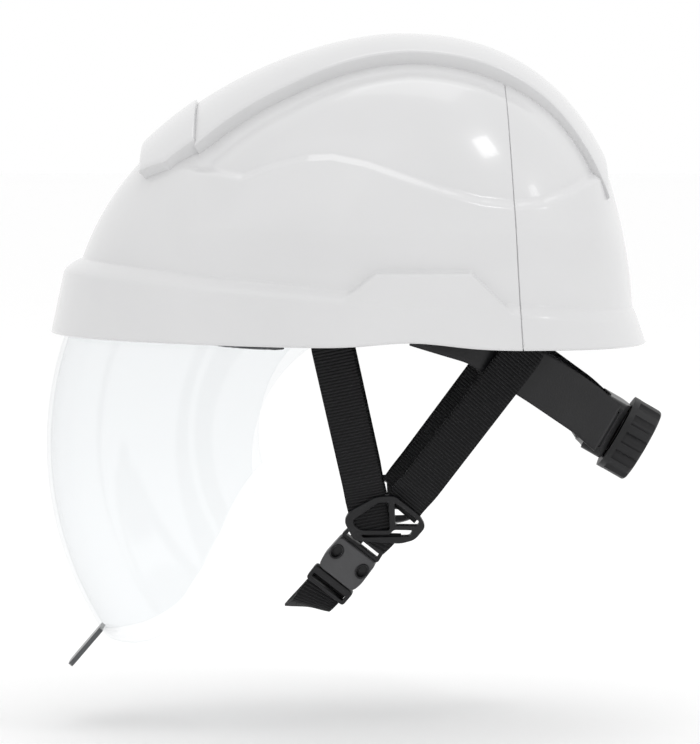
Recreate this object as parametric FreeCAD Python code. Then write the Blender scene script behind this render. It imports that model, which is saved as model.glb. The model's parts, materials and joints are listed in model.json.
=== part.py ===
"""Electrician's hard hat with a sliding face visor, webbing harness, ratchet headband and chin strap.

Millimetres.  +Z is up, the brow points to -X, the nape to +X, and the wearer's right is +Y.  The origin is
the middle of the head seat: on the middle plane, level with the lowest part of the rim.
"""

import FreeCAD, Part
import math
import os

V = FreeCAD.Vector

# ---- shell ---------------------------------------------------------------------------------------------
APEX_X = 25.0            # fore-and-aft place of the widest and highest point
DOME_FRONT = 165.1       # half-lengths and height of the smooth dome, measured from the apex
DOME_BACK = 119.0
DOME_HALF_WIDTH = 110.0
DOME_HEIGHT = 154.3
DOME_CAP = 150.0         # the dome is closed by a small flat here, under the crest
FRONT_ROUNDNESS = 2.15   # exponents of the plan outline
BACK_ROUNDNESS = 2.4
SHELL_WALL = 3.5
SEAM_TOP_X = 77.5        # slanted joint between the front and rear shells
SEAM_TILT = 3.2
SEAM_GAP = 0.4
RIM_BOTTOM = (5.5, -0.020)   # height at X = 0 and slope of the rim's lower edge, of its wall and its chamfer
RIM_WALL_TOP = (27.5, -0.085)
RIM_CHAMFER_TOP = (35.0, -0.090)

# ---- crest ---------------------------------------------------------------------------------------------
CREST_RISE = 3.8
CREST_FRONT_X = -75.2
CREST_REAR_X = 130.0
BLOCK_RISE = 6.0
BLOCK_FRONT_X = -103.0

# ---- visor ---------------------------------------------------------------------------------------------
PIVOT = V(19.7, 0, -49.5)    # axis that the visor slides round
VISOR_TUBE = 65.0            # radius to the middle of the visor's oval section
VISOR_DEPTH = 106.4
VISOR_HALF_WIDTH = 94.0
VISOR_WALL = 2.0
VISOR_TOP_Z = 25.0
VISOR_EDGE_RADIUS = 66.0
TAB_WIDTH = 26.0
TAB_LENGTH = 23.0
TAB_THICK = 2.4

# ---- visor guides --------------------------------------------------------------------------------------
TRACK_RADIUS = 70.0
TRACK_ANGLES = (59.5, 123.5)
PIN_ANGLES = (60.0, 73.0)
PIN_RADIUS = 2.2
PIN_CLEARANCE = 0.07
GUIDE_INNER_Y = 95.5
GUIDE_OUTER_Y = 97.5
GUIDE_RADII = (64.0, 81.0)
GUIDE_LOW_Z = 6.4
BOSS_TRACK = 77.4
BOSS_ANGLES = (62.0, 90.0, 118.0)
BOSS_RADIUS = 2.8
SCREW_RADIUS = 1.5
CAP_RADIUS = 3.6

# ---- suspension ----------------------------------------------------------------------------------------
RING_FRONT = 122.0
RING_BACK = 93.0
RING_HALF_WIDTH = 86.0
RING_Z = (20.0, 34.0)
RING_WALL = 2.5
BAND_FRONT = 96.0
BAND_BACK = 116.0
BAND_HALF_WIDTH = 80.0
BAND_Z = (4.0, 32.0)
BAND_WALL = 1.6
PAD_WALL = 3.6
WEB_WIDTH = 20.0
WEB_THICK = 1.4
CROWN_Z = 103.0

# ---- nape ratchet, in its own tilted frame ---------------------------------------------------------------
NAPE_ORIGIN = V(135.7, 0, -42.2)     # where the knob's axis meets the back of the housing
NAPE_TILT = 30.0
HOUSING_HALF_WIDTH = 34.0
HOUSING_HALF_HEIGHT = 15.0
TOOTH_PITCH = math.pi
PITCH_RADIUS = 5.0
TOOTH_WIDTH = 1.0
KNOB_RADIUS = 19.8
KNOB_DEPTH = 15.6
KNOB_GRIPS = 12
SHAFT_RADIUS = 3.0
SHAFT_CLEARANCE = 0.06

# ---- chin strap ----------------------------------------------------------------------------------------
DIVIDER = V(18.5, 60.0, -82.0)
BUCKLE = V(0.5, -46.0, -104.5)
BUCKLE_WIDTH = 24.0
BUCKLE_LENGTH = 20.0
BUCKLE_THICK = 9.0

FORWARD = V(1, 0, 0)
ACROSS = V(0, 1, 0)
UP = V(0, 0, 1)


# ---- general helpers -----------------------------------------------------------------------------------
def save(name, *shapes):
    """Write one node, a solid or a group of solids."""
    solids = [solid for shape in shapes for solid in shape.Solids]
    whole = solids[0] if len(solids) == 1 else Part.makeCompound(solids)
    whole.exportStep("parts/" + name + ".step")


def union(shapes):
    return shapes[0].multiFuse(shapes[1:]) if len(shapes) > 1 else shapes[0]


def mirrored(shape):
    return shape.mirror(V(0, 0, 0), ACROSS)


def turned(shape, centre, axis, degrees):
    copy = shape.copy()
    copy.rotate(centre, axis, degrees)
    return copy


def placed(shape, origin, along, across, normal):
    """Move a shape drawn in X, Y, Z to a frame whose axes are along, across and normal."""
    matrix = FreeCAD.Matrix(
        along.x, across.x, normal.x, origin.x,
        along.y, across.y, normal.y, origin.y,
        along.z, across.z, normal.z, origin.z,
        0, 0, 0, 1,
    )
    return shape.transformGeometry(matrix)


def block(x0, x1, y0, y1, z0, z1):
    return Part.makeBox(x1 - x0, y1 - y0, z1 - z0, V(x0, y0, z0))


def prism(points, direction):
    wire = Part.makePolygon(points + [points[0]])
    return Part.Face(wire).extrude(direction)


def ribbon(stations, width, thickness):
    """A flat strap: stations are (middle point, direction of its width)."""
    sections = []
    for i, (point, wide) in enumerate(stations):
        ahead = stations[min(i + 1, len(stations) - 1)][0]
        behind = stations[max(i - 1, 0)][0]
        wide = V(wide).normalize()
        flat = (ahead - behind).cross(wide).normalize()
        side = wide * (width / 2)
        face = flat * (thickness / 2)
        corners = [point - side - face, point + side - face, point + side + face, point - side + face]
        sections.append([Part.makeLine(corners[k], corners[(k + 1) % 4]) for k in range(4)])
    ends = [Part.Face(Part.Wire(section)) for section in (sections[0], sections[-1])]
    pairs = zip(sections, sections[1:])
    sides = [Part.makeRuledSurface(one[k], two[k]) for one, two in pairs for k in range(4)]
    shell = Part.makeShell(ends + sides)
    shell.sewShape()
    solid = Part.Solid(shell)
    if solid.Volume < 0:
        solid.reverse()
    return solid


def pivot_point(radius, degrees, y=0.0):
    """A point round the visor's axis; 0 degrees is straight forward and 90 straight up."""
    a = math.radians(degrees)
    return V(PIVOT.x - radius * math.cos(a), y, PIVOT.z + radius * math.sin(a))


# ---- shell ---------------------------------------------------------------------------------------------
def plan_ring(front, back, half_width, height, slope=0.0, count=36):
    """Closed plan outline; its plane may slope fore and aft."""
    points = []
    for i in range(count):
        a = 2 * math.pi * i / count
        c, s = math.cos(a), math.sin(a)
        power = 2 / (BACK_ROUNDNESS if c > 0 else FRONT_ROUNDNESS)
        reach = back if c > 0 else -front
        x = APEX_X + reach * abs(c) ** power
        y = math.copysign(half_width * abs(s) ** power, s)
        points.append(V(x, y, height + slope * x))
    curve = Part.BSplineCurve()
    curve.interpolate(Points=points, PeriodicFlag=True)
    return Part.Wire([curve.toShape()])


def dome(offset, top):
    """The smooth dome grown by offset, from below the rim up to a flat at top."""
    full = DOME_HEIGHT + offset
    rings = []
    for z in (-8.0, 20.0, 45.0, 70.0, 92.0, 112.0, 128.0, 140.0, top - 3.0, top):
        level = max(z, 0.0) / full
        front = (DOME_FRONT + offset) * (1 - level ** 2.2) ** (1 / 1.644)
        back = (DOME_BACK + offset) * (1 - level ** 2.3) ** (1 / 2.4)
        wide = (DOME_HALF_WIDTH + offset) * (1 - level ** 2.3) ** (1 / 2.3)
        rings.append(plan_ring(front, back, wide, z))
    return Part.makeLoft(rings, True, False)


def skirt(sections):
    """Straight-sided rim through (front, back, half width, height, slope) sections."""
    return Part.makeLoft([plan_ring(*section) for section in sections], True, True)


def shell_outside():
    rim = skirt([
        (174.6, 125.6, 117.0, *RIM_BOTTOM),
        (167.6, 121.3, 113.5, *RIM_WALL_TOP),
        (157.5, 117.3, 107.8, *RIM_CHAMFER_TOP),
    ])
    below = block(-200, 200, -200, 200, -60, RIM_BOTTOM[0])
    below = turned(below, V(0, 0, RIM_BOTTOM[0]), ACROSS, -math.degrees(math.atan(RIM_BOTTOM[1])))
    return dome(0.0, DOME_CAP).cut(below).fuse(rim)


def shell_hollow():
    rim = skirt([
        (172.0, 122.5, 114.0, -6.0, RIM_BOTTOM[1]),
        (163.8, 117.5, 109.7, 26.0, RIM_WALL_TOP[1]),
        (153.0, 113.2, 103.8, 32.5, RIM_CHAMFER_TOP[1]),
    ])
    return dome(-SHELL_WALL, DOME_CAP - SHELL_WALL).fuse(rim)


def half_space(front):
    """Everything in front of, or behind, the seam."""
    span = (-400, SEAM_TOP_X - SEAM_GAP / 2) if front else (SEAM_TOP_X + SEAM_GAP / 2, 400)
    return turned(block(*span, -200, 200, -60, 220), V(SEAM_TOP_X, 0, 142), ACROSS, -SEAM_TILT)


def strip_plan(outline):
    """Upright prism over a plan outline given for one side."""
    other = [(x, -y) for x, y in reversed(outline)]
    return prism([V(x, y, 60) for x, y in outline + other], V(0, 0, 120))


def build_shell():
    outside = shell_outside()
    hollow = shell_hollow()
    shell = outside.cut(hollow)
    save("front_shell", shell.common(half_space(True)))
    save("rear_shell", shell.common(half_space(False)))
    above = block(-200, 200, -80, 80, 88, 200)
    crest_plan = [(CREST_FRONT_X, 59), (-28, 56), (30, 46), (100, 45), (CREST_REAR_X, 47)]
    crest = dome(CREST_RISE, DOME_CAP + CREST_RISE + 3.4).cut(outside).common(strip_plan(crest_plan))
    save("crest", crest.common(above))
    front_plan = [(BLOCK_FRONT_X, 40), (-96, 52), (CREST_FRONT_X, 59)]
    front_block = dome(BLOCK_RISE, DOME_CAP).cut(outside).common(strip_plan(front_plan))
    save("crest_front_block", front_block.common(above))
    return hollow


# ---- visor ---------------------------------------------------------------------------------------------
def visor_sheet():
    """Oval section swept round the pivot."""
    middle = PIVOT - V(VISOR_TUBE, 0, 0)
    outer = Part.Face(Part.Wire([Part.Ellipse(middle, VISOR_DEPTH, VISOR_HALF_WIDTH).toShape()]))
    inner = Part.Ellipse(middle, VISOR_DEPTH - VISOR_WALL, VISOR_HALF_WIDTH - VISOR_WALL)
    section = outer.cut(Part.Face(Part.Wire([inner.toShape()])))
    front_half = Part.makePlane(200, 300, middle + V(-200, -150, 0))
    section = section.common(front_half)
    start = turned(section, PIVOT, ACROSS, -44.0)
    return start.Faces[0].revolve(PIVOT, ACROSS, 126.0)


def visor_outline():
    """Side outline: chin curve, cheek corner, round rear edge and straight top."""
    corner = pivot_point(VISOR_EDGE_RADIUS, -16.0)
    ear = pivot_point(VISOR_EDGE_RADIUS, 79.0)
    top_back = V(6.5, 0, VISOR_TOP_Z)
    top_front = V(-180, 0, VISOR_TOP_Z)
    chin_front = V(-180, 0, -146.2)
    chin = [V(-119.6, 0, -146.2), V(-105, 0, -144.6), V(-91, 0, -139.1), V(-76.4, 0, -120),
            V(-63.5, 0, -93.8)]
    curve = Part.BSplineCurve()
    curve.interpolate(chin + [corner])
    edges = [
        Part.LineSegment(chin_front, chin[0]).toShape(),
        curve.toShape(),
        Part.Arc(corner, pivot_point(VISOR_EDGE_RADIUS, 30.0), ear).toShape(),
        Part.LineSegment(ear, top_back).toShape(),
        Part.LineSegment(top_back, top_front).toShape(),
        Part.LineSegment(top_front, chin_front).toShape(),
    ]
    face = Part.Face(Part.Wire(edges))
    face.translate(V(0, -120, 0))
    return face.extrude(V(0, 240, 0))


def runner(degrees):
    """One runner pin with its cap, on the +Y side."""
    centre = pivot_point(TRACK_RADIUS, degrees)
    inner_y = VISOR_HALF_WIDTH - VISOR_WALL - 0.6
    pin = Part.makeCylinder(PIN_RADIUS, GUIDE_OUTER_Y + 1.6 - inner_y, centre + V(0, inner_y, 0), ACROSS)
    cap = Part.makeCylinder(CAP_RADIUS, 1.5, centre + V(0, GUIDE_OUTER_Y + 0.1, 0), ACROSS)
    return pin.fuse(cap)


def build_visor():
    pins = [runner(a) for a in PIN_ANGLES]
    far_pins = [mirrored(pin) for pin in pins]
    lens = visor_sheet().common(visor_outline())
    tab_root = V(-124.9, 0, -142.9)
    down = V(-0.651, 0, -0.759)
    tab = block(-1.5, TAB_LENGTH, -TAB_WIDTH / 2, TAB_WIDTH / 2, -TAB_THICK / 2, TAB_THICK / 2)
    rounded = [edge for edge in tab.Edges if abs(edge.Vertexes[0].X - TAB_LENGTH) < 0.01
               and abs(edge.Vertexes[1].X - TAB_LENGTH) < 0.01 and edge.Length < TAB_WIDTH - 1]
    tab = tab.makeFillet(5.0, rounded)
    tab = placed(tab, tab_root, down, ACROSS, down.cross(ACROSS))
    tab = tab.cut(lens)
    tab = max(tab.Solids, key=lambda solid: solid.Volume)
    for pin in pins + far_pins:
        lens = lens.cut(pin)
    save("visor_lens", lens)
    save("visor_tab", tab)
    save("visor_runners_right", *pins)
    save("visor_runners_left", *far_pins)


def track_slot():
    """Arc slot through the guide plate."""
    half = PIN_RADIUS + PIN_CLEARANCE
    first, last = TRACK_ANGLES
    ends = [Part.makeCylinder(half, 6, pivot_point(TRACK_RADIUS, a, GUIDE_INNER_Y - 2), ACROSS)
            for a in TRACK_ANGLES]
    return union([arc_band(TRACK_RADIUS - half, TRACK_RADIUS + half, first, last,
                           GUIDE_INNER_Y - 2, GUIDE_INNER_Y + 4)] + ends)


def arc_band(inner, outer, first, last, y0, y1):
    """Part of a flat ring round the pivot."""
    middle = (first + last) / 2
    edges = [
        Part.Arc(*(pivot_point(outer, a, y0) for a in (first, middle, last))).toShape(),
        Part.LineSegment(pivot_point(outer, last, y0), pivot_point(inner, last, y0)).toShape(),
        Part.Arc(*(pivot_point(inner, a, y0) for a in (last, middle, first))).toShape(),
        Part.LineSegment(pivot_point(inner, first, y0), pivot_point(outer, first, y0)).toShape(),
    ]
    return Part.Face(Part.Wire(edges)).extrude(V(0, y1 - y0, 0))


def build_guides(hollow):
    plate = arc_band(*GUIDE_RADII, 48.0, 134.0, GUIDE_INNER_Y, GUIDE_OUTER_Y)
    plate = plate.common(block(-60, 100, 90, 110, GUIDE_LOW_Z, 60)).cut(track_slot())
    screws = []
    for a in BOSS_ANGLES:
        boss = Part.makeCylinder(BOSS_RADIUS, 16, pivot_point(BOSS_TRACK, a, GUIDE_OUTER_Y - 0.5), ACROSS)
        plate = plate.fuse(boss.common(hollow))
        screw = Part.makeCylinder(SCREW_RADIUS, 9, pivot_point(BOSS_TRACK, a, GUIDE_INNER_Y), ACROSS)
        plate = plate.cut(screw)
        screws.append(screw)
    save("guide_right", plate)
    save("guide_left", mirrored(plate))
    save("guide_screws", *screws, *[mirrored(screw) for screw in screws])


# ---- suspension ----------------------------------------------------------------------------------------
def hoop(front, back, half_width, wall, z0, z1):
    outer = Part.Face(plan_ring(front, back, half_width, z0)).extrude(V(0, 0, z1 - z0))
    inner = Part.Face(plan_ring(front - wall, back - wall, half_width - wall, z0 - 1))
    return outer.cut(inner.extrude(V(0, 0, z1 - z0 + 2)))


def hoop_side(front, back, half_width, x):
    """Half width of a hoop at X."""
    reach, power = (back, BACK_ROUNDNESS) if x > APEX_X else (front, FRONT_ROUNDNESS)
    return half_width * (1 - (abs(x - APEX_X) / reach) ** power) ** (1 / power)


def ring_side(x):
    return hoop_side(RING_FRONT, RING_BACK, RING_HALF_WIDTH, x)


def build_ring(hollow):
    """Suspension ring with side, rear and nape lugs that reach the shell."""
    hollow_of_ring = Part.Face(
        plan_ring(RING_FRONT - RING_WALL, RING_BACK - RING_WALL, RING_HALF_WIDTH - RING_WALL, -40)
    ).extrude(V(0, 0, 100))
    ring = hoop(RING_FRONT, RING_BACK, RING_HALF_WIDTH, RING_WALL, *RING_Z)
    side_drop = block(12, 28, RING_HALF_WIDTH - RING_WALL, RING_HALF_WIDTH, 9.6, 22)
    side_lug = block(12, 28, RING_HALF_WIDTH - RING_WALL, 118, 9.6, 13.0)
    rear_lug = block(82, 100, 50, 118, 24, 31)
    one_side = side_drop.fuse(side_lug).fuse(rear_lug)
    nape_lug = block(110, 150, -12, 12, 24, 31)
    lugs = one_side.fuse(mirrored(one_side)).fuse(nape_lug).common(hollow).cut(hollow_of_ring)
    screws = []
    for x, y, z in ((20, 94, 9.6), (91, 84, 24), (91, -84, 24), (20, -94, 9.6), (128, 0, 24)):
        head = Part.makeCylinder(3.2, 1.8, V(x, y, z), V(0, 0, -1))
        shank = Part.makeCylinder(SCREW_RADIUS, 2.6, V(x, y, z))
        screws.append(head.fuse(shank))
    ring = ring.fuse(lugs).removeSplitter()
    for screw in screws:
        ring = ring.cut(screw)
    save("suspension_ring", ring)
    save("ring_screws", *screws)


def crown_arch(half_span, foot_z, top_z, count=13):
    """Half-oval path over the crown as (distance from the middle, height)."""
    angles = [math.pi * i / (count - 1) for i in range(count)]
    return [(-half_span * math.cos(a), foot_z + (top_z - foot_z) * math.sin(a)) for a in angles]


def build_crown():
    """Two crossing webbing straps, their clips on the ring and the soft crown pad."""
    inset = RING_WALL + WEB_THICK / 2 + 0.9
    half_width = RING_HALF_WIDTH - inset
    across = [(V(22, y, z), FORWARD) for y, z in crown_arch(half_width, 29, CROWN_Z + 2.8)]
    save("crown_strap_across", ribbon(across, WEB_WIDTH, WEB_THICK))
    half_length = (RING_FRONT + RING_BACK) / 2 - inset
    middle_x = APEX_X + (RING_BACK - RING_FRONT) / 2
    along = [(V(middle_x + x, 0, z), ACROSS) for x, z in crown_arch(half_length, 29, CROWN_Z)]
    save("crown_strap_long", ribbon(along, WEB_WIDTH, WEB_THICK))
    pad = Part.makeCylinder(28, 5, V(14, 0, CROWN_Z - 10.5))
    save("crown_pad", pad.makeFillet(2.0, pad.Edges))
    clip = block(-0.95, -0.02, -12, 12, 22, 28.5)
    clips = []
    for x, y, turn in ((22, half_width - WEB_THICK / 2, 90), (22, -half_width + WEB_THICK / 2, -90),
                       (middle_x - half_length + WEB_THICK / 2, 0, 180),
                       (middle_x + half_length - WEB_THICK / 2, 0, 0)):
        one = turned(clip, V(0, 0, 0), UP, turn)
        one.translate(V(x, y, 0))
        clips.append(one)
    save("crown_strap_clips", *clips)


def build_headband():
    """Brow band, its sweatband, the four hangers to the ring and the two flexible nape arms."""
    front_side = block(-120, 30, -120, 120, -20, 60)
    band = hoop(BAND_FRONT, BAND_BACK, BAND_HALF_WIDTH, BAND_WALL, *BAND_Z).common(front_side)
    save("brow_band", band)
    gap = BAND_WALL + 0.3
    sweat = hoop(BAND_FRONT - gap, BAND_BACK - gap, BAND_HALF_WIDTH - gap, PAD_WALL, 1.0, 30.0)
    save("sweatband", sweat.common(block(-120, -10, -62, 62, -20, 60)))
    band_inside = Part.Face(plan_ring(BAND_FRONT, BAND_BACK, BAND_HALF_WIDTH, -5)).extrude(V(0, 0, 60))
    ring_inside = Part.Face(
        plan_ring(RING_FRONT - RING_WALL, RING_BACK - RING_WALL, RING_HALF_WIDTH - RING_WALL, -5)
    ).extrude(V(0, 0, 60))
    hangers = []
    for x in (-48.0, -2.0):
        bar = block(x - 5, x + 5, 20, 100, 22, 26).common(ring_inside).cut(band_inside)
        hangers += [bar, mirrored(bar)]
    save("band_hangers", *hangers)
    nape_up = V(math.sin(math.radians(NAPE_TILT)), 0, math.cos(math.radians(NAPE_TILT)))
    path = [(V(30.6, 79.2, 18), UP), (V(62, 76, 9), V(0.25, 0, 1)), (V(95, 63, -12), nape_up),
            (V(119, 44.5, -29), nape_up), (V(129.6, 36.4, -38.6), nape_up)]
    arm = ribbon(path, 26.0, BAND_WALL)
    save("nape_arm_right", arm)
    save("nape_arm_left", mirrored(arm))


# ---- nape ratchet --------------------------------------------------------------------------------------
def nape(shape):
    """Drawn with X along the knob's axis, Y across and Z up the band; moved to the nape."""
    a = math.radians(NAPE_TILT)
    return placed(shape, NAPE_ORIGIN, V(math.cos(a), 0, -math.sin(a)), ACROSS, V(math.sin(a), 0, math.cos(a)))


def rack(side):
    """Slotted rack plate; side is +1 for the right one, whose teeth are below the pinion."""
    x0 = -8.9 if side > 0 else -7.3
    plate = block(x0, x0 + 1.3, -20, 35.5, -9.4, 9.4)
    tooth_root = PITCH_RADIUS + 1.2
    slot = block(x0 - 1, x0 + 3, -17, 19, -tooth_root, tooth_root)
    plate = plate.cut(slot)
    teeth = []
    for i in range(-5, 6):
        y = (i + 0.5) * TOOTH_PITCH
        teeth.append(block(x0, x0 + 1.3, y - TOOTH_WIDTH / 2, y + TOOTH_WIDTH / 2, -tooth_root - 0.4, -4.6))
    plate = plate.multiFuse(teeth)
    return plate if side > 0 else mirrored(plate).mirror(V(0, 0, 0), UP)


def pinion():
    gear = Part.makeCylinder(4.0, 3.2, V(-9.1, 0, 0), FORWARD)
    tooth = block(-9.1, -5.9, -TOOTH_WIDTH / 2, TOOTH_WIDTH / 2, 3.0, 5.6)
    teeth = [turned(tooth, V(0, 0, 0), FORWARD, 36.0 * i) for i in range(10)]
    shaft = Part.makeCylinder(SHAFT_RADIUS, 14.0, V(-6.0, 0, 0), FORWARD)
    return gear.multiFuse(teeth + [shaft])


def knob():
    """Round knob with rounded grip recesses that open to its outer face."""
    body = Part.makeCylinder(KNOB_RADIUS, KNOB_DEPTH, V(0.4, 0, 0), FORWARD)
    end = 0.4 + KNOB_DEPTH
    flange_end = 3.6
    grip = Part.makeCylinder(3.4, end, V(flange_end, KNOB_RADIUS + 1.3, 0), FORWARD)
    grips = [turned(grip, V(0, 0, 0), FORWARD, 360.0 * i / KNOB_GRIPS) for i in range(KNOB_GRIPS)]
    hollow = Part.makeCylinder(14.0, 4.0, V(0.0, 0, 0), FORWARD)
    bore = Part.makeCylinder(SHAFT_RADIUS, 8.0, V(0.0, 0, 0), FORWARD)
    outer_edges = [edge for edge in body.Edges if edge.Closed and edge.CenterOfMass.x > end - 0.1]
    body = body.makeFillet(2.0, outer_edges)
    return body.cut(union(grips)).cut(hollow).cut(bore)


def build_nape():
    w, h = HOUSING_HALF_WIDTH, HOUSING_HALF_HEIGHT
    outline = [
        Part.Arc(V(-4.6, -w, -h), V(0, 0, -h), V(-4.6, w, -h)).toShape(),
        Part.LineSegment(V(-4.6, w, -h), V(-14, w, -h)).toShape(),
        Part.Arc(V(-14, w, -h), V(-11.5, 0, -h), V(-14, -w, -h)).toShape(),
        Part.LineSegment(V(-14, -w, -h), V(-4.6, -w, -h)).toShape(),
    ]
    case = Part.Face(Part.Wire(outline)).extrude(V(0, 0, 2 * h))
    corners = [edge for edge in case.Edges if abs(edge.Length - (14 - 4.6)) < 0.1]
    case = case.makeFillet(6.0, corners)
    channel = block(-9.2, -5.6, -w - 2, w + 2, -10, 10)
    hole = Part.makeCylinder(SHAFT_RADIUS + SHAFT_CLEARANCE, 20, V(-5.8, 0, 0), FORWARD)
    seat = Part.makeCylinder(15.0, 6.0, V(0.0, 0, 0), FORWARD)
    back = case.cut(channel).cut(hole).cut(seat).common(block(-9.2, 10, -60, 60, -40, 40))
    cover = case.common(block(-30, -9.2, -60, 60, -40, 40))
    screws = []
    for y, z in ((-26, -12.3), (26, -12.3), (-26, 12.3), (26, 12.3)):
        screw = Part.makeCylinder(1.2, 7.0, V(-13.0, y, z), FORWARD)
        cover = cover.cut(screw)
        back = back.cut(screw)
        screws.append(nape(screw))
    save("ratchet_housing", nape(back))
    save("ratchet_cover", nape(cover))
    save("cover_screws", *screws)
    pad = block(-20.0, -14.4, -30, 30, -13, 13)
    save("nape_pad", nape(pad.makeFillet(2.5, pad.Edges)))
    save("rack_right", nape(rack(1)))
    save("rack_left", nape(rack(-1)))
    save("ratchet_pinion", nape(pinion()))
    save("ratchet_knob", nape(knob()))
    ring = Part.makeCylinder(11.0, 1.0, V(0.0, 0, 0), FORWARD).cut(
        Part.makeCylinder(6.0, 3.0, V(-1.0, 0, 0), FORWARD))
    save("click_ring", nape(ring.cut(back)))


# ---- chin strap ----------------------------------------------------------------------------------------
def divider():
    """Flat plate joining the two upper straps to the lower one; drawn flat, X forward and Z up."""
    outline = [(-20, -1), (-17, 4.5), (-4, 12), (5, 12.5), (17, 2.5), (20.5, -4), (15, -11), (8, -13),
               (-15, -11.5)]
    plate = prism([V(x, 0, z) for x, z in outline], V(0, 4.0, 0))
    slot = block(-9, 9, -2, 6, -1.2, 1.2)
    front_slot = turned(slot, V(0, 0, 0), ACROSS, 30)
    front_slot.translate(V(-8, 0, 3.2))
    rear_slot = turned(slot, V(0, 0, 0), ACROSS, -42)
    rear_slot.translate(V(10, 0, 2.4))
    low_slot = block(-11, 11, -2, 6, -8.6, -6.0)
    return plate.cut(front_slot).cut(rear_slot.common(block(3, 30, -5, 10, -9, 9))).cut(low_slot)


def chin_frame():
    """Axes of the buckle: up the strap, across it and away from the face."""
    along = V(0.60, -0.26, 0.757).normalize()
    across = V(0.80, 0, -0.60)
    outward = across.cross(along).normalize()
    across = along.cross(outward).normalize()
    return along, across, outward


def buckle(shape):
    return placed(shape, BUCKLE, *chin_frame())


def build_buckle():
    """Side-release buckle, drawn with X up the strap, Y across and Z away from the face."""
    half_w, half_l, half_t = BUCKLE_WIDTH / 2, BUCKLE_LENGTH / 2, BUCKLE_THICK / 2
    body = block(-half_l, half_l, -half_w, half_w, -half_t, half_t)
    body = body.makeFillet(3.0, [e for e in body.Edges if abs(e.Length - BUCKLE_THICK) < 0.1])
    socket = block(-half_l - 1, half_l - 3, -half_w + 3, half_w - 3, -2.6, 2.6)
    windows = block(-2, 6, -half_w - 1, half_w + 1, -2.6, 2.6)
    frame = block(half_l - 1, half_l + 7, -half_w, half_w, -2, 2)
    frame = frame.cut(block(half_l + 1.2, half_l + 4.4, -half_w + 1.6, half_w - 1.6, -5, 5))
    save("buckle_female", buckle(body.cut(socket).cut(windows).fuse(frame)))
    base = block(-half_l - 9.5, -half_l - 0.4, -half_w, half_w, -2.4, 2.4)
    base = base.cut(block(-half_l - 7.6, -half_l - 5.0, -half_w + 1.6, half_w - 1.6, -5, 5))
    tongue = block(-half_l - 1, half_l - 4, -2.2, 2.2, -1.6, 1.6)
    save("buckle_male", buckle(base.fuse(tongue)))
    prong = prism([V(-half_l - 0.4, 4.6, -2.0), V(-1, 5.6, -2.0), V(5.4, 5.0, -2.0), V(5.0, 9.4, -2.0),
                   V(0.0, 11.0, -2.0), V(-1.6, 8.6, -2.0), V(-half_l - 0.4, 7.8, -2.0)], V(0, 0, 4.0))
    save("buckle_prongs", buckle(prong), buckle(mirrored(prong)))


def build_chin_strap():
    along, across, outward = chin_frame()
    tilt = V(0, -0.29, -0.957).normalize()
    right = placed(divider(), DIVIDER, V(1, 0, 0), V(1, 0, 0).cross(tilt) * -1, tilt * -1)
    front_wide = V(0.98, 0, 0.20)
    rear_wide = V(0.76, 0, -0.65)
    front = ribbon([(V(-9.5, 88.6, 27), FORWARD), (V(-8, 87.4, 6), front_wide),
                    (V(9.3, 64.6, -72), front_wide)], WEB_WIDTH, WEB_THICK)
    rear = ribbon([(V(92, 79.5, 21), FORWARD), (V(88, 78.4, 4), rear_wide),
                   (V(30.5, 64.8, -72.5), rear_wide)], WEB_WIDTH, WEB_THICK)
    anchor = block(-20.5, 1.5, ring_side(-20) - 1, 87.1, 21, 32).cut(
        Part.Face(plan_ring(RING_FRONT, RING_BACK, RING_HALF_WIDTH, 0)).extrude(V(0, 0, 50)))
    for name, shape in (("strap_divider", right), ("front_strap", front), ("rear_strap", rear),
                        ("strap_anchor", anchor)):
        save(name + "_right", shape)
        save(name + "_left", mirrored(shape))
    link = [(V(14.0, -55.2, -95.0), FORWARD), (V(13.0, -54.8, -100.5), FORWARD)]
    save("lower_strap_left", ribbon(link, WEB_WIDTH, WEB_THICK))
    leave = BUCKLE - along * (BUCKLE_LENGTH / 2 + 6.3) - outward * 3.4
    webbing = [(leave, across), (V(-18, -34, -127.5), V(0.95, 0, -0.3)), (V(-22, 0, -131), FORWARD),
               (V(-17, 32, -125), V(0.95, 0, 0.3)), (V(0, 50, -106), V(0.9, 0, 0.43)),
               (V(16.5, 54.6, -96.4), FORWARD)]
    save("chin_webbing", ribbon(webbing, WEB_WIDTH, WEB_THICK))


def main():
    os.makedirs("parts", exist_ok=True)
    hollow = build_shell()
    build_visor()
    build_guides(hollow)
    build_ring(hollow)
    build_crown()
    build_headband()
    build_nape()
    build_buckle()
    build_chin_strap()


main()
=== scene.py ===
"""Materials, detailed pieces, light and camera for a hard hat with a sliding face visor.  Metres."""

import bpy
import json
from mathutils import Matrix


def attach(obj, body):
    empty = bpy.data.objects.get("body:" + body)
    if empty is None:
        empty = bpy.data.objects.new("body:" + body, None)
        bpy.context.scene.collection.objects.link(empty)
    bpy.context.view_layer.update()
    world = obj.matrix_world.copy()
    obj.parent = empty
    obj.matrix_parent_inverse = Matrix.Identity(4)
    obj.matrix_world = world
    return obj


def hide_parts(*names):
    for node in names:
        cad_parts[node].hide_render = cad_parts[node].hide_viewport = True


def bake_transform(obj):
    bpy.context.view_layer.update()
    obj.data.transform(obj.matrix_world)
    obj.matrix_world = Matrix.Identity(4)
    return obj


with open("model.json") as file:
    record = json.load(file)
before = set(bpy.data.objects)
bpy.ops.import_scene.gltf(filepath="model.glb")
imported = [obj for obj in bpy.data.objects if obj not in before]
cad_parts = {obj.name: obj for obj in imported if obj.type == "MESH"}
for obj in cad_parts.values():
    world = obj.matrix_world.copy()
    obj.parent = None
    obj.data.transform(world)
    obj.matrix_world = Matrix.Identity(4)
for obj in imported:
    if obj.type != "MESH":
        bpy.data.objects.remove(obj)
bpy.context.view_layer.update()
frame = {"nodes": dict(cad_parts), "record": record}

import json
import math

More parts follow.
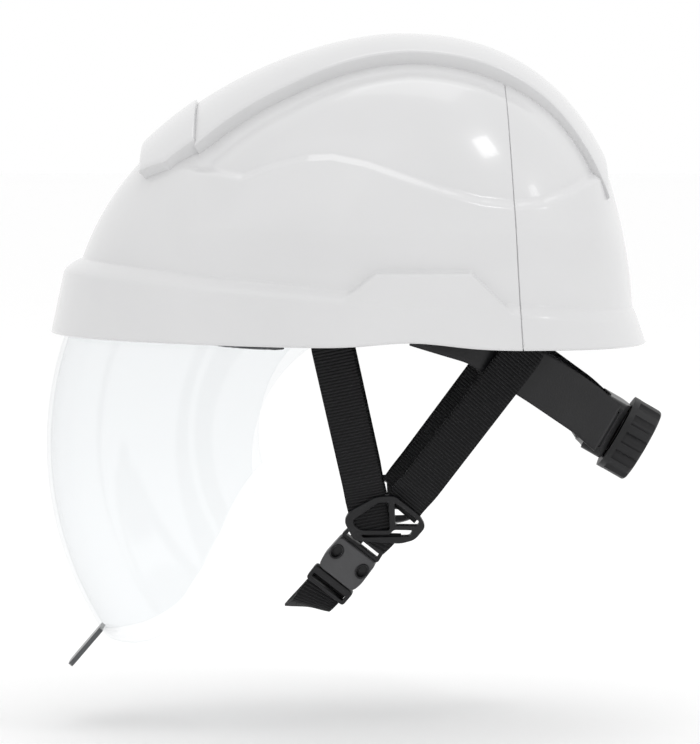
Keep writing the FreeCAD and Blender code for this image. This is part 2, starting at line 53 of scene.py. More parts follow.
import bmesh
import bpy
import numpy as np
from mathutils import Vector

MM = 0.001
NODES = frame["nodes"]

# Shell form, in millimetres, as the CAD has it
APEX_X = 25.0
DOME_FRONT, DOME_BACK, DOME_HALF_WIDTH, DOME_HEIGHT = 165.1, 119.0, 110.0, 154.3
FRONT_ROUNDNESS, BACK_ROUNDNESS = 2.15, 2.4
RIM_BOTTOM_SIZE = (174.2, 125.2, 116.6)
RIM_TOP_SIZE = (167.4, 121.1, 113.3)
CREST_RISE, BLOCK_RISE = 3.8, 5.9
CREST_X = (-75.2, 129.8)
BLOCK_X = (-103.0, -75.4)
SEAM_X, SEAM_Z, SEAM_SLOPE = 77.5, 142.0, 0.0557

# Visor form
PIVOT_X, PIVOT_Z = 19.7, -49.5
VISOR_TUBE, VISOR_DEPTH, VISOR_HALF_WIDTH, VISOR_WALL = 65.0, 106.4, 94.0, 2.0
VISOR_TOP_ANGLE = 79.0
VISOR_TOP_ABOVE_PIVOT = 74.5
# Lower edge: distance from the pivot and angle below it, from the cheek corner to the chin
VISOR_LOW_EDGE = [(66, -14.5), (68, -15.2), (86, -24), (94.3, -28), (101.4, -31.2), (119.2, -36.3),
                  (135.9, -38.8), (142.2, -38.9), (150, -38.3), (157.1, -37.3), (162.6, -36.1),
                  (168.5, -34.6), (171.4, -33.2)]

# Straps and chin buckle
STRAP_WIDTH, STRAP_THICKNESS = 19.6, 1.4
BUCKLE_CENTRE = Vector((0.5, -46.0, -104.5))
WINDOW_X, WINDOW_Y = 2.2, 8.0
BROW_BAND_LOW_Z = 9.0


# ---- materials ------------------------------------------------------------------------------------------
def new_material(name, color, roughness, **inputs):
    material = bpy.data.materials.new(name)
    material.use_nodes = True
    shader = material.node_tree.nodes["Principled BSDF"]
    shader.inputs["Base Color"].default_value = (*color, 1.0)
    shader.inputs["Roughness"].default_value = roughness
    for key, value in inputs.items():
        shader.inputs[key.replace("_", " ")].default_value = value
    return material, material.node_tree, shader


def texture(tree, kind, scale, coordinate="Object", **settings):
    node = tree.nodes.new(kind)
    node.inputs["Scale"].default_value = scale
    for key, value in settings.items():
        if key in node.inputs:
            node.inputs[key].default_value = value
        else:
            setattr(node, key, value)
    place = tree.nodes.new("ShaderNodeTexCoord")
    tree.links.new(place.outputs[coordinate], node.inputs["Vector"])
    return node


def bump(tree, shader, height, strength, distance, after=None):
    node = tree.nodes.new("ShaderNodeBump")
    node.inputs["Strength"].default_value = strength
    node.inputs["Distance"].default_value = distance
    tree.links.new(height, node.inputs["Height"])
    if after is not None:
        tree.links.new(after.outputs["Normal"], node.inputs["Normal"])
    tree.links.new(node.outputs["Normal"], shader.inputs["Normal"])
    return node


def vary(tree, source, target, low, high):
    """A texture drives a value between low and high."""
    node = tree.nodes.new("ShaderNodeMapRange")
    node.inputs["To Min"].default_value = low
    node.inputs["To Max"].default_value = high
    tree.links.new(source, node.inputs["Value"])
    tree.links.new(node.outputs["Result"], target)


def vary_color(tree, source, shader, dark, light):
    ramp = tree.nodes.new("ShaderNodeValToRGB")
    ramp.color_ramp.elements[0].position = 0.35
    ramp.color_ramp.elements[0].color = (*dark, 1)
    ramp.color_ramp.elements[1].position = 0.7
    ramp.color_ramp.elements[1].color = (*light, 1)
    tree.links.new(source, ramp.inputs["Fac"])
    tree.links.new(ramp.outputs["Color"], shader.inputs["Base Color"])


def shell_white():
    material, tree, shader = new_material("shell_white", (0.66, 0.66, 0.665), 0.24,
                                          Coat_Weight=0.4, Coat_Roughness=0.06)
    ripple = texture(tree, "ShaderNodeTexNoise", 18.0, Detail=2.0)
    bump(tree, shader, ripple.outputs["Fac"], 0.08, 0.002)
    blotch = texture(tree, "ShaderNodeTexNoise", 9.0, Detail=3.0)
    vary_color(tree, blotch.outputs["Fac"], shader, (0.635, 0.635, 0.64), (0.665, 0.665, 0.67))
    vary(tree, blotch.outputs["Fac"], shader.inputs["Roughness"], 0.18, 0.27)
    return material


def moulded(name, dark, light, roughness, grain=900.0):
    material, tree, shader = new_material(name, dark, roughness, Specular_IOR_Level=0.32)
    pores = texture(tree, "ShaderNodeTexNoise", grain, Detail=2.0)
    bump(tree, shader, pores.outputs["Fac"], 0.25, 0.0003)
    wear = texture(tree, "ShaderNodeTexNoise", 40.0, Detail=4.0)
    vary_color(tree, wear.outputs["Fac"], shader, dark, light)
    vary(tree, wear.outputs["Fac"], shader.inputs["Roughness"], roughness - 0.06, roughness + 0.1)
    return material


def webbing_material():
    """Woven strap: cross ribs along its length and fine yarns."""
    material, tree, shader = new_material("webbing", (0.005, 0.005, 0.006), 0.7, Specular_IOR_Level=0.25)
    ribs = texture(tree, "ShaderNodeTexWave", 190.0, "UV", bands_direction="Y")
    first = bump(tree, shader, ribs.outputs["Fac"], 0.9, 0.0007)
    yarn = texture(tree, "ShaderNodeTexWave", 420.0, "UV", bands_direction="X")
    bump(tree, shader, yarn.outputs["Fac"], 0.35, 0.0003, after=first)
    # Colour follows the rib relief: painted shade darkens the rib grooves and the rib crests are painted
    # lighter.
    vary_color(tree, ribs.outputs["Fac"], shader, (0.0025, 0.0025, 0.003), (0.012, 0.012, 0.013))
    return material


def cloth_material():
    material, tree, shader = new_material("pad_cloth", (0.03, 0.03, 0.033), 0.9, Sheen_Weight=0.4)
    weave = texture(tree, "ShaderNodeTexVoronoi", 700.0)
    bump(tree, shader, weave.outputs["Distance"], 0.6, 0.0006)
    shade = texture(tree, "ShaderNodeTexNoise", 60.0, Detail=3.0)
    vary_color(tree, shade.outputs["Fac"], shader, (0.02, 0.02, 0.022), (0.045, 0.045, 0.05))
    return material


def clear_visor():
    """Thin clear sheet: mostly see-through, with a mirror-like sheen that grows towards its edges."""
    material = bpy.data.materials.new("visor_clear")
    material.use_nodes = True
    tree = material.node_tree
    tree.nodes.clear()
    out = tree.nodes.new("ShaderNodeOutputMaterial")
    through = tree.nodes.new("ShaderNodeBsdfTransparent")
    through.inputs["Color"].default_value = (0.975, 0.98, 0.983, 1)
    gloss = tree.nodes.new("ShaderNodeBsdfGlossy")
    gloss.inputs["Roughness"].default_value = 0.04
    mix = tree.nodes.new("ShaderNodeMixShader")
    facing = tree.nodes.new("ShaderNodeLayerWeight")
    facing.inputs["Blend"].default_value = 0.5
    edge = tree.nodes.new("ShaderNodeMath")
    edge.operation = "POWER"
    edge.inputs[1].default_value = 4.0
    tree.links.new(facing.outputs["Facing"], edge.inputs[0])
    haze = texture(tree, "ShaderNodeTexNoise", 30.0, Detail=3.0)
    vary(tree, haze.outputs["Fac"], gloss.inputs["Roughness"], 0.02, 0.07)
    vary(tree, edge.outputs["Value"], mix.inputs["Fac"], 0.025, 0.28)
    tree.links.new(through.outputs["BSDF"], mix.inputs[1])
    tree.links.new(gloss.outputs["BSDF"], mix.inputs[2])
    tree.links.new(mix.outputs["Shader"], out.inputs["Surface"])
    return material


def smoked_tab():
    material, tree, shader = new_material("tab_smoke", (0.10, 0.105, 0.11), 0.25, Transmission_Weight=0.35)
    haze = texture(tree, "ShaderNodeTexNoise", 120.0, Detail=3.0)
    vary(tree, haze.outputs["Fac"], shader.inputs["Roughness"], 0.2, 0.4)
    bump(tree, shader, haze.outputs["Fac"], 0.1, 0.0004)
    return material


def screw_steel():
    material, tree, shader = new_material("screw_steel", (0.55, 0.56, 0.58), 0.3, Metallic=1.0)
    scratch = texture(tree, "ShaderNodeTexNoise", 500.0, Detail=2.0)
    vary(tree, scratch.outputs["Fac"], shader.inputs["Roughness"], 0.2, 0.45)
    return material


WHITE = shell_white()
BLACK = moulded("black_plastic", (0.005, 0.005, 0.006), (0.009, 0.009, 0.010), 0.36)
KNOB_GREY = moulded("knob_plastic", (0.010, 0.010, 0.011), (0.018, 0.018, 0.019), 0.45, 600.0)
GREY = moulded("grey_plastic", (0.055, 0.055, 0.057), (0.072, 0.072, 0.075), 0.4)
WEBBING = webbing_material()
CLOTH = cloth_material()
CLEAR = clear_visor()
SMOKE = smoked_tab()
STEEL = screw_steel()
BY_SLOT = {"shell_white": WHITE, "visor_clear": CLEAR, "tab_smoke": SMOKE, "black_plastic": BLACK,
           "grey_plastic": GREY, "webbing": WEBBING, "foam": CLOTH, "steel": STEEL}


def paint_frame():
    """Every carried-over CAD node gets the material of its slot."""
    for entry in frame["record"]["subparts"]:
        node = NODES[entry["node"]]
        node.data.materials.clear()
        node.data.materials.append(BY_SLOT[entry["material_slot"]])
    NODES["ratchet_knob"].data.materials[0] = KNOB_GREY
    for name in ("ratchet_knob", "ratchet_housing", "ratchet_cover", "suspension_ring", "visor_tab"):
        soften = NODES[name].modifiers.new("edge", "BEVEL")
        soften.width = 0.4 * MM
        soften.segments = 2
        soften.limit_method = "ANGLE"
        soften.angle_limit = math.radians(50)


# ---- mesh helpers ---------------------------------------------------------------------------------------
def mesh_object(name, vertices, faces, material, uvs=None):
    mesh = bpy.data.meshes.new(name)
    mesh.from_pydata([tuple(v) for v in vertices], [], faces)
    mesh.materials.append(material)
    mesh.shade_smooth()
    if uvs is not None:
        layer = mesh.uv_layers.new(name="UVMap")
        for loop in mesh.loops:
            layer.data[loop.index].uv = uvs[loop.vertex_index]
    piece = bpy.data.objects.new(name, mesh)
    bpy.context.scene.collection.objects.link(piece)
    return piece


def grid_faces(rows, columns, closed):
    faces = []
    for i in range(rows - 1):
        for j in range(columns if closed else columns - 1):
            k = (j + 1) % columns
            faces.append((i * columns + j, i * columns + k, (i + 1) * columns + k, (i + 1) * columns + j))
    return faces


def thicken(piece, thickness):
    solid = piece.modifiers.new("wall", "SOLIDIFY")
    solid.thickness = thickness
    solid.offset = -1.0
    solid.use_even_offset = False


def smoothstep(low, high, value):
    t = np.clip((value - low) / (high - low), 0.0, 1.0)
    return t * t * (3 - 2 * t)


# ---- shell ----------------------------------------------------------------------------------------------
def dome_axes(z, rise=0.0):
    """Front, back and side half-lengths of the dome at height z."""
    level = np.clip(z, 0.0, None) / (DOME_HEIGHT + rise)
    level = np.clip(level, 0.0, 1.0)
    front = (DOME_FRONT + rise) * (1 - level ** 2.2) ** (1 / 1.644)
    back = (DOME_BACK + rise) * (1 - level ** 2.3) ** (1 / 2.4)
    side = (DOME_HALF_WIDTH + rise) * (1 - level ** 2.3) ** (1 / 2.3)
    return front, back, side


def plan_point(front, back, side, a):
    """Point of a plan outline at angle a, 0 at the back."""
    c, s = np.cos(a), np.sin(a)
    power = np.where(c > 0, 2 / BACK_ROUNDNESS, 2 / FRONT_ROUNDNESS)
    reach = np.where(c > 0, back, -front)
    x = APEX_X + reach * np.abs(c) ** power
    y = np.sign(s) * side * np.abs(s) ** power
    return x, y


def rim_low(x):
    """Height of the rim's lower edge, which rises a little over the ear."""
    return 5.4 - 0.016 * x + 3.2 * np.exp(-((x - 32) / 26) ** 2)


def crest_half(x):
    return np.interp(x, [-103, -90, -75, -28, 30, 100, 130], [44, 56, 59, 56, 46, 45, 47])


def wave_height(x):
    """Upper edge of the low wave that runs along each side."""
    knots = [(-80, 92), (-64, 89), (-50, 86.5), (-36, 92), (-19, 96), (-7, 96.5), (10, 93), (27, 87), (46, 80.5),
             (65, 75.5), (82, 73.5), (95, 75), (108, 79.5), (122, 87)]
    xs, zs = zip(*knots)
    return np.interp(x, xs, zs)


def relief(x, y, z):
    """How far the shell's skin stands off the smooth dome."""
    side = np.abs(y)
    below_wave = 1 - smoothstep(-3.2, 3.2, z - wave_height(x))
    along = smoothstep(-92, -70, x) * (1 - smoothstep(118, 140, x))
    fade_down = smoothstep(42, 62, z)
    out = 3.2 * below_wave * along * fade_down
    gutter = np.abs(side - crest_half(x) - 3.0)
    channel = (1 - smoothstep(3.0, 15.0, gutter)) * smoothstep(-86, -66, x) * (1 - smoothstep(70, 118, x))
    out -= 2.8 * channel * smoothstep(70, 100, z)
    return out


def ear_plate(points):
    """The flat raised plate over each ear carries the rim's wall higher."""
    x, y, z = points[..., 0], points[..., 1], points[..., 2]
    reach = np.where(x > APEX_X, RIM_TOP_SIZE[1], RIM_TOP_SIZE[0])
    power = np.where(x > APEX_X, BACK_ROUNDNESS, FRONT_ROUNDNESS)
    wall = RIM_TOP_SIZE[2] * np.clip(1 - (np.abs(x - APEX_X) / reach) ** power, 0, 1) ** (1 / power)
    wall = wall - 0.4 - 0.06 * (z - 27)
    lean = (z - 33) / 8.0
    mask = smoothstep(-1.2, 1.2, x - (3 + 10 * lean)) * (1 - smoothstep(-1.2, 1.2, x - (69 - 8 * lean)))
    mask = mask * (1 - smoothstep(40.4, 42.6, z)) * (np.abs(y) > 60)
    extra = np.maximum(wall - np.abs(y), 0) * mask
    points[..., 1] = y + np.sign(y) * extra
    return points


def shell_skin(columns, rows_up):
    """Rim and dome as one skin, from the rim's lower edge to the apex."""
    a = np.linspace(0, 2 * math.pi, columns, endpoint=False)
    rings = []

    def ring_at(sizes, height):
        x, y = plan_point(*sizes, a)
        return np.stack([x, y, height(x)], 1)

    low = ring_at(RIM_BOTTOM_SIZE, rim_low)
    top = ring_at(RIM_TOP_SIZE, lambda x: 27.5 - 0.085 * x)
    z = np.full(columns, 33.0)
    for _ in range(8):
        x, y = plan_point(*dome_axes(z), a)
        z = 33.5 - 0.090 * x
    foot = np.stack([x, y, z], 1)
    inner = low.copy()
    centre = np.array([APEX_X, 0, 0])
    inner[:, :2] = centre[:2] + (low[:, :2] - centre[:2]) * 0.972
    inner[:, 2] += 0.4
    rings.append(inner)
    for t in (0.0, 0.3, 0.7):
        edge = low.copy()
        edge[:, :2] = centre[:2] + (low[:, :2] - centre[:2]) * (1 - 0.012 * (1 - t) ** 2)
        edge[:, 2] += 1.6 * t * t - 0.2
        rings.append(edge)
    for t in np.linspace(0.08, 0.97, 16):
        rings.append(low + (top - low) * t)
    for t in np.linspace(0.0, 1.0, 9)[1:]:
        rings.append(top + (foot - top) * t + np.array([0, 0, 0.6 * math.sin(math.pi * t)]))
    start = np.arcsin(np.clip(foot[:, 2] / DOME_HEIGHT, 0, 1) ** (1 / 0.9))
    for t in np.linspace(0, 1, rows_up)[1:]:
        rise = start + (math.pi / 2 - start) * t
        z = DOME_HEIGHT * np.sin(rise) ** 0.9
        x, y = plan_point(*dome_axes(z), a)
        rings.append(np.stack([x, y, z], 1))
    return np.stack(rings)


def grid_normals(points):
    """Outward normals of a closed grid of rings."""
    around = np.roll(points, -1, 1) - np.roll(points, 1, 1)
    up = np.gradient(points, axis=0)
    normal = np.cross(around, up)
    length = np.linalg.norm(normal, axis=2, keepdims=True)
    return normal / np.maximum(length, 1e-9)


def build_shell():
    columns, rows_up = ((900, 260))
    points = shell_skin(columns, rows_up)
    normal = grid_normals(points)
    amount = relief(points[..., 0], points[..., 1], points[..., 2])
    amount[:20] = 0.0
    points = ear_plate(points + normal * amount[..., None])
    faces = grid_faces(points.shape[0], columns, True)
    whole = mesh_object("shell_skin", points.reshape(-1, 3) * MM, faces, WHITE)
    seam = Vector((SEAM_X, 0, SEAM_Z)) * MM
    ahead = Vector((1, 0, SEAM_SLOPE)).normalized()
    for name, side, node in (("shell_front", -1, "front_shell"), ("shell_rear", 1, "rear_shell")):
        mesh = whole.data.copy()
        half = bmesh.new()
        half.from_mesh(mesh)
        cut = seam + ahead * side * 0.25 * MM
        bmesh.ops.bisect_plane(half, geom=half.verts[:] + half.edges[:] + half.faces[:], plane_co=cut,
                               plane_no=ahead, clear_outer=side < 0, clear_inner=side > 0)
        half.to_mesh(mesh)
        half.free()
        piece = bpy.data.objects.new(name, mesh)
        bpy.context.scene.collection.objects.link(piece)
        thicken(piece, 3.2 * MM)
        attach(piece, "shell")
        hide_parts(node)
    bpy.data.objects.remove(whole)


def dome_z(x, y, rise):
    """Height of the dome, grown by rise, over a plan point."""
    low = np.zeros_like(x)
    high = np.full_like(x, DOME_HEIGHT + rise)
    for _ in range(40):
        z = (low + high) / 2
        front, back, side = dome_axes(z, rise)
        ahead = x < APEX_X
        reach = np.maximum(np.where(ahead, front, back), 1e-6)
        power = np.where(ahead, FRONT_ROUNDNESS, BACK_ROUNDNESS)
        inside = (np.abs(x - APEX_X) / reach) ** power + (np.abs(y) / np.maximum(side, 1e-6)) ** power < 1
        low = np.where(inside, z, low)
        high = np.where(inside, high, z)
    return (low + high) / 2


def raised_strip(name, node, x0, x1, rise, edge):
    """Raised panel over the dome, with rounded edges and walls that run down into the shell."""
    step = 1.2
    inset = edge * np.array([0.0, 0.07, 0.25, 0.6, 1.0])
    drop = edge * np.array([1.0, 0.55, 0.25, 0.06, 0.0])
    x_mid = np.linspace(x0 + edge, x1 - edge, int((x1 - x0) / step))
    xs = np.concatenate([x0 + inset, x_mid[1:-1], (x1 - inset)[::-1]])
    fall_x = np.concatenate([drop, np.zeros(len(x_mid) - 2), drop[::-1]])
    w_mid = np.linspace(-1, 1, int(100 / step))
    rows = []
    for x, fall in zip(xs, fall_x):
        half = float(crest_half(x))
        ys = np.concatenate([-half + inset, w_mid[1:-1] * (half - edge), (half - inset)[::-1]])
        falls = np.concatenate([drop, np.zeros(len(w_mid) - 2), drop[::-1]])
        line_x = np.full_like(ys, x)
        z = dome_z(line_x, ys, rise) - np.maximum(falls, fall)
        rows.append(np.stack([line_x, ys, z], 1))
    points = np.stack(rows)
    count_x, count_y = points.shape[:2]
    vertices = list(points.reshape(-1, 3))
    faces = grid_faces(count_x, count_y, False)
    rim = [(0, j) for j in range(count_y)]
    rim += [(i, count_y - 1) for i in range(1, count_x)]
    rim += [(count_x - 1, j) for j in range(count_y - 2, -1, -1)]
    rim += [(i, 0) for i in range(count_x - 2, 0, -1)]
    loop = [i * count_y + j for i, j in rim]
    first = len(vertices)
    for index in loop:
        x, y, z = vertices[index]
        inward = np.array([(x - APEX_X) / 160.0, y / 110.0, z / 110.0])
        vertices.append(vertices[index] - inward / np.linalg.norm(inward) * (rise + 5.5))
    for k in range(len(loop)):
        n = (k + 1) % len(loop)
        faces.append((loop[n], loop[k], first + k, first + n))
    piece = mesh_object(name, np.array(vertices) * MM, faces, WHITE)
    normals = piece.modifiers.new("flat walls", "WEIGHTED_NORMAL")
    normals.keep_sharp = True
    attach(piece, "shell")
    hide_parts(node)


# ---- visor ----------------------------------------------------------------------------------------------
def build_visor():
    """Oval section swept round the pivot, trimmed to the chin curve, the cheek corner and the straight top."""
    radii, lows = zip(*VISOR_LOW_EDGE)
    count_y, count_a = ((220, 150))
    limit = math.acos(1.0 / VISOR_DEPTH)
    turn = np.linspace(-limit, limit, count_y)
    radius = VISOR_TUBE + VISOR_DEPTH * np.cos(turn)
    y = VISOR_HALF_WIDTH * np.sin(turn)
    low = np.interp(radius, radii, lows)
    level_top = np.degrees(np.arcsin(np.clip(VISOR_TOP_ABOVE_PIVOT / radius, 0, 1)))
    high = np.minimum(VISOR_TOP_ANGLE, level_top)
    rows = []
    for t in np.linspace(0, 1, count_a):
        a = np.radians(low + (high - low) * t)
        rows.append(np.stack([PIVOT_X - radius * np.cos(a), y, PIVOT_Z + radius * np.sin(a)], 1))
    points = np.stack(rows)
    faces = [tuple(reversed(f)) for f in grid_faces(count_a, count_y, False)]
    piece = mesh_object("visor_sheet", points.reshape(-1, 3) * MM, faces, CLEAR)
    thicken(piece, VISOR_WALL * MM)
    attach(piece, "visor")
    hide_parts("visor_lens")


# ---- straps ---------------------------------------------------------------------------------------------
def strap(name, node, stations, width=STRAP_WIDTH, thickness=STRAP_THICKNESS, material=WEBBING):
    """Flat strap along (point, width direction) stations, in millimetres, with slightly thinner edges."""
    thinner = 0.25
    points = [np.array(p, float) for p, _ in stations]
    wides = [np.array(w, float) / np.linalg.norm(w) for _, w in stations]
    count = max(24, int(sum(np.linalg.norm(b - a) for a, b in zip(points, points[1:])) / 1.5))
    spans = [0.0]
    for a, b in zip(points, points[1:]):
        spans.append(spans[-1] + float(np.linalg.norm(b - a)))
    at = np.linspace(0, spans[-1], count)
    path = np.stack([np.interp(at, spans, [p[k] for p in points]) for k in range(3)], 1)
    wide = np.stack([np.interp(at, spans, [w[k] for w in wides]) for k in range(3)], 1)
    for _ in range(6):
        path[1:-1] = (path[:-2] + 2 * path[1:-1] + path[2:]) / 4
    wide /= np.linalg.norm(wide, axis=1, keepdims=True)
    ahead = np.gradient(path, axis=0)
    flat = np.cross(ahead, wide)
    flat /= np.linalg.norm(flat, axis=1, keepdims=True)
    across = np.linspace(-1, 1, 13)
    profile = [(w, 1.0 - thinner * abs(w) ** 6) for w in across]
    profile += [(w, -(1.0 - thinner * abs(w) ** 6)) for w in across[::-1]]
    vertices, uvs = [], []
    for i in range(count):
        for w, t in profile:
            vertices.append((path[i] + wide[i] * w * width / 2 + flat[i] * t * thickness / 2) * MM)
            uvs.append((w * width / 2 * MM, at[i] * MM))
    ring = len(profile)
    faces = grid_faces(count, ring, True)
    faces += [tuple(range(ring))[::-1], tuple((count - 1) * ring + k for k in range(ring))]
    piece = mesh_object(name, vertices, faces, material, uvs)
    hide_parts(node)
    return piece


def chin_axes():
    """The buckle's own directions: along the strap, across it and outward."""
    along = Vector((0.60, -0.26, 0.757)).normalized()
    outward = Vector((0.80, 0, -0.60)).cross(along).normalized()
    return along, along.cross(outward).normalized(), outward


def mirrored(stations):
    return [((x, -y, z), (wx, -wy, wz)) for (x, y, z), (wx, wy, wz) in stations]


def build_straps():
    front_wide, rear_wide = (0.98, 0, 0.20), (0.76, 0, -0.65)
    front = [((-9.5, 88.6, 26.8), (1, 0, 0)), ((-8, 87.4, 6), front_wide), ((7.6, 66.6, -64), front_wide),
             ((8.9, 61.0, -71.5), front_wide), ((11.0, 57.6, -80), front_wide), ((13, 56.0, -88.5), front_wide)]
    rear = [((92, 79.5, 21), (1, 0, 0)), ((88, 78.4, 4), rear_wide), ((36.0, 66.5, -65), rear_wide),
            ((30.8, 61.0, -71), rear_wide), ((26.0, 57.6, -77.5), rear_wide)]
    for name, route in (("front_strap", front), ("rear_strap", rear)):
        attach(strap(name + "_webbing_right", name + "_right", route), "shell")
        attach(strap(name + "_webbing_left", name + "_left", mirrored(route)), "shell")
    link = [((17.0, -56.4, -89.6), (1, 0, 0)), ((10.0, -50.9, -94.2), (0.8, 0, -0.6))]
    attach(strap("lower_webbing_left", "lower_strap_left", link), "shell")
    along, across, outward = chin_axes()
    leave = BUCKLE_CENTRE - along * 16.3 - outward * 3.4
    webbing = [(tuple(leave), tuple(across)), ((-18, -34, -127.5), (0.95, 0, -0.3)), ((-22, 0, -131), (1, 0, 0)),
               ((-17, 32, -125), (0.95, 0, 0.3)), ((0, 50, -106), (0.9, 0, 0.43)),
               ((16.5, 54.6, -96.4), (1, 0, 0))]
    chin = strap("chin_webbing_strap", "chin_webbing", webbing)
    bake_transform(chin)
    nape_up = (0.5, 0, 0.866)
    arm = [((30.6, 79.2, 18), (0, 0, 1)), ((62, 76, 9), (0.25, 0, 1)), ((95, 63, -12), nape_up),
           ((119, 44.5, -29), nape_up), ((129.6, 36.4, -38.6), nape_up)]
    for side, route in (("right", arm), ("left", mirrored(arm))):
        band = strap("nape_band_" + side, "nape_arm_" + side, route, 26.0, 1.6, BLACK)
        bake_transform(band)


def arch(half_span, foot_z, top_z, count=40):
    angles = np.linspace(0, math.pi, count)
    return [(-half_span * math.cos(a), foot_z + (top_z - foot_z) * math.sin(a)) for a in angles]


def build_crown():
    """Two straps that cross over the head, just inside the suspension ring."""
    ring_half_width, ring_half_length, ring_middle_x = 86, 107.5, 10.5
    inset = 4.1
    foot_z = 29
    across = [((22, y, z), (1, 0, 0)) for y, z in arch(ring_half_width - inset, foot_z, 105.8)]
    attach(strap("crown_webbing_across", "crown_strap_across", across), "shell")
    along = [((ring_middle_x + x, 0, z), (0, 1, 0)) for x, z in arch(ring_half_length - inset, foot_z, 103)]
    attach(strap("crown_webbing_long", "crown_strap_long", along), "shell")


# ---- chin hardware --------------------------------------------------------------------------------------
def cut_plate(name, outline, holes, half_thick, bevel, origin, axes, material):
    """Flat moulding with holes and rounded edges; axes are its own X, Y and outward directions."""
    curve = bpy.data.curves.new(name, "CURVE")
    curve.dimensions = "2D"
    curve.fill_mode = "BOTH"
    curve.extrude = (half_thick - bevel) * MM
    curve.bevel_depth = bevel * MM
    curve.bevel_resolution = 2
    curve.offset = -bevel * MM
    for loop in [outline] + holes:
        spline = curve.splines.new("POLY")
        spline.points.add(len(loop) - 1)
        for point, (x, y) in zip(spline.points, loop):
            point.co = (x * MM, y * MM, 0, 1)
        spline.use_cyclic_u = True
    shape = bpy.data.objects.new(name, curve)
    bpy.context.scene.collection.objects.link(shape)
    bpy.context.view_layer.update()
    mesh = bpy.data.meshes.new_from_object(shape.evaluated_get(bpy.context.evaluated_depsgraph_get()))
    bpy.data.objects.remove(shape)
    along, across, outward = (Vector(axis).normalized() for axis in axes)
    base = Vector(origin) * MM
    for vertex in mesh.vertices:
        x, y, z = vertex.co
        vertex.co = base + along * x + across * y + outward * z
    mesh.materials.clear()
    mesh.materials.append(material)
    piece = bpy.data.objects.new(name, mesh)
    bpy.context.scene.collection.objects.link(piece)
    return piece


def rounded(points, radius, steps=5):
    """Outline with its corners rounded."""
    result = []
    count = len(points)
    for i, corner in enumerate(points):
        corner = Vector(corner)
        before = Vector(points[i - 1])
        after = Vector(points[(i + 1) % count])
        r = min(radius, (before - corner).length / 2.2, (after - corner).length / 2.2)
        one = corner + (before - corner).normalized() * r
        two = corner + (after - corner).normalized() * r
        for k in range(steps + 1):
            t = k / steps
            result.append(tuple(one * (1 - t) ** 2 + corner * 2 * t * (1 - t) + two * t * t))
    return result


def oval(x, y, rx, ry, count=28):
    return [(x + rx * math.cos(2 * math.pi * k / count), y + ry * math.sin(2 * math.pi * k / count))
            for k in range(count)]


def build_dividers():
    """Frame with a webbing opening for each upper strap and a slot for the lower one."""
    outline = rounded([(-20, -1), (-17, 4.5), (-4, 12), (5, 12.5), (17, 2.5), (20.5, -4), (15, -11), (8, -13),
                       (-15, -11.5)], 2.5)
    front_hole = [(-15.5, -0.5), (-3.0, 8.8), (2.0, 9.0), (2.6, -5.8), (-11.5, -5.8), (-15, -3.2)]
    rear_hole = [(5.0, 8.6), (6.2, 8.2), (17.2, -1.2), (16.6, -3.4), (5.4, -3.2)]
    low_hole = [(4.6, -5.6), (14.0, -5.8), (12.5, -9.0), (-10.5, -9.6), (-11.5, -8.2), (2.6, -8.2)]
    for side, name in ((1, "right"), (-1, "left")):
        axes = ((1, 0, 0), (0, 0.29 * side, 0.957), (0, 0.957 * side, -0.29))
        origin = (18.5, 58.6 * side, -81.6)
        holes = [rounded(hole, 1.2) for hole in (front_hole, rear_hole, low_hole)]
        piece = cut_plate("divider_frame_" + name, outline, holes, 1.7, 0.55, origin, axes, BLACK)
        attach(piece, "shell")
        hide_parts("strap_divider_" + name)


def buckle_plate(name, outline, holes, half_thick, bevel, material):
    return cut_plate(name, outline, holes, half_thick, bevel, BUCKLE_CENTRE, chin_axes(), material)


def build_buckle():
    """Side-release buckle: grey-faced socket with oval side windows, webbing bar and plug."""
    body = [(-9.6, -10.6), (-4.0, -11.8), (9.6, -11.2), (9.6, 11.2), (-4.0, 11.8), (-9.6, 10.6)]
    sides = (-WINDOW_Y, WINDOW_Y)
    windows = [oval(WINDOW_X, y, 3.7, 2.7) for y in sides]
    face = buckle_plate("buckle_socket", rounded(body, 2.4), windows, 4.2, 0.8, GREY)
    parts = [face]
    for y in sides:
        outer, inner = oval(WINDOW_X, y, 4.2, 3.2), oval(WINDOW_X, y, 3.3, 2.3)
        parts.append(buckle_plate("rim", outer, [inner], 4.8, 0.4, BLACK))
    bar = [(9.2, -11.6), (16.4, -10.6), (16.4, 10.6), (9.2, 11.6)]
    bar_slot = [(11.4, -9.4), (14.0, -9.2), (14.0, 9.2), (11.4, 9.4)]
    parts.append(buckle_plate("bar", rounded(bar, 2.2), [bar_slot], 2.0, 0.5, BLACK))
    join(parts)
    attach(face, "shell")
    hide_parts("buckle_female")
    base = [(-19.3, -11.6), (-10.6, -11.8), (-10.6, 11.8), (-19.3, 11.6)]
    base_slot = [(-17.4, -9.8), (-14.6, -9.8), (-14.6, 9.8), (-17.4, 9.8)]
    plug = buckle_plate("buckle_plug_body", rounded(base, 1.8), [base_slot], 2.4, 0.6, BLACK)
    tongue = [(-11.0, -2.2), (5.6, -1.8), (5.6, 1.8), (-11.0, 2.2)]
    join([plug, buckle_plate("tongue", tongue, [], 1.5, 0.3, BLACK)])
    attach(plug, "buckle_plug")
    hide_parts("buckle_male")


def build_brow_band():
    """Brow band with its lower edge raised, so that it stays hidden inside the shell."""
    mesh = NODES["brow_band"].data.copy()
    for vertex in mesh.vertices:
        vertex.co.z = max(vertex.co.z, BROW_BAND_LOW_Z * MM)
    piece = bpy.data.objects.new("brow_band_trim", mesh)
    bpy.context.scene.collection.objects.link(piece)
    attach(piece, "shell")
    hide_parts("brow_band")


def join(parts):
    """Merge the meshes of parts into the first one."""
    chosen = {"active_object": parts[0], "selected_editable_objects": parts, "selected_objects": parts}
    with bpy.context.temp_override(**chosen):
        bpy.ops.object.join()


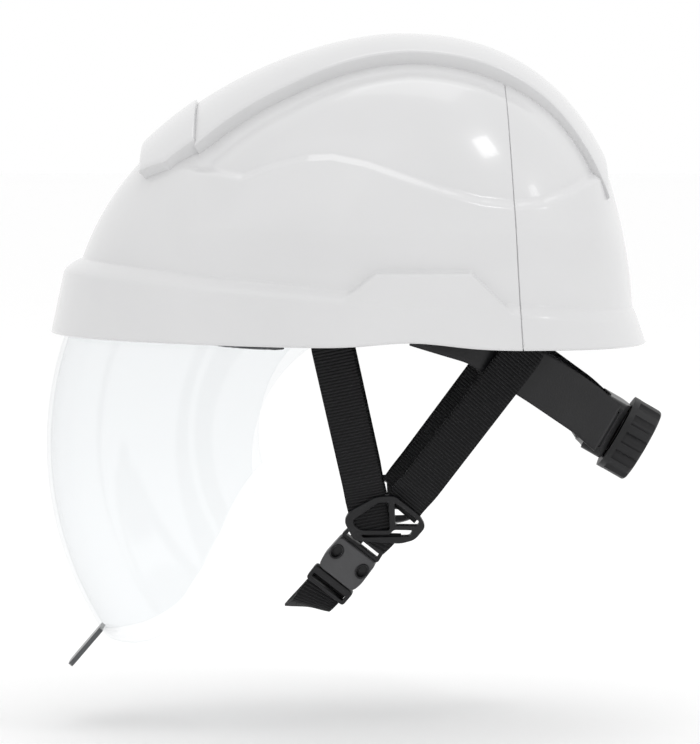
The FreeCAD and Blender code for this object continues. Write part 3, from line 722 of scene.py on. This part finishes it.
# ---- pads -----------------------------------------------------------------------------------------------
def pad(name, node, body, voxel):
    """Soft pad made from a CAD solid's mesh: remeshed, softened and subdivided."""
    mesh = NODES[node].data.copy()
    mesh.materials.clear()
    mesh.materials.append(CLOTH)
    piece = bpy.data.objects.new(name, mesh)
    bpy.context.scene.collection.objects.link(piece)
    remesh = piece.modifiers.new("even", "REMESH")
    remesh.mode = "VOXEL"
    remesh.voxel_size = voxel
    soften = piece.modifiers.new("soften", "SMOOTH")
    soften.factor = 0.6
    soften.iterations = 6
    finer = piece.modifiers.new("finer", "SUBSURF")
    finer.levels = finer.render_levels = 1
    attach(piece, body)
    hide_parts(node)


# ---- room -----------------------------------------------------------------------------------------------
def build_room():
    world = bpy.data.worlds.new("studio")
    bpy.context.scene.world = world
    world.use_nodes = True
    world.node_tree.nodes["Background"].inputs["Color"].default_value = (1, 1, 1, 1)
    world.node_tree.nodes["Background"].inputs["Strength"].default_value = 1.0
    bpy.ops.mesh.primitive_plane_add(size=30, location=(0, 0, -0.19))
    floor = bpy.context.object
    floor.name = "floor"
    material, tree, shader = new_material("floor_white", (0.99, 0.99, 0.99), 0.9)
    grain = texture(tree, "ShaderNodeTexNoise", 3.0)
    vary(tree, grain.outputs["Fac"], shader.inputs["Roughness"], 0.85, 0.95)
    floor.data.materials.append(material)
    lights = [("key", (1.2, -1.0, 2.1), 4.0, 0.4), ("rim", (1.73, -0.69, 1.17), 0.6, 0.2),
              ("fill", (-0.9, -1.6, 1.9), 2.5, 1.6), ("top", (0.1, 0.5, 2.2), 4.5, 1.2)]
    for name, place, energy, size in lights:
        light = bpy.data.lights.new(name, "AREA")
        light.energy = energy
        light.size = size
        lamp = bpy.data.objects.new(name, light)
        lamp.location = place
        lamp.rotation_euler = (Vector((0, 0, 0)) - Vector(place)).to_track_quat("-Z", "Y").to_euler()
        bpy.context.scene.collection.objects.link(lamp)


def build_camera():
    distance, rise = 2.45, math.radians(3.4)
    target = Vector((0.0015, 0, -0.0126))
    camera = bpy.data.objects.new("camera", bpy.data.cameras.new("camera"))
    camera.location = target + Vector((0, -distance * math.cos(rise), distance * math.sin(rise)))
    camera.rotation_euler = (target - camera.location).to_track_quat("-Z", "Y").to_euler()
    camera.data.sensor_width = 36.0
    camera.data.lens = 234.7
    bpy.context.scene.collection.objects.link(camera)
    bpy.context.scene.camera = camera


paint_frame()
build_shell()
raised_strip("crest_panel", "crest", *CREST_X, CREST_RISE, 1.3)
raised_strip("crest_front_panel", "crest_front_block", *BLOCK_X, BLOCK_RISE, 1.6)
build_visor()
build_straps()
build_crown()
build_dividers()
build_buckle()
build_brow_band()
pad("sweatband_pad", "sweatband", "shell", 0.0018)
pad("nape_cushion", "nape_pad", "nape_carriage", 0.002)
pad("crown_cushion", "crown_pad", "shell", 0.002)
build_room()
build_camera()
bpy.context.scene.view_settings.view_transform = "Standard"
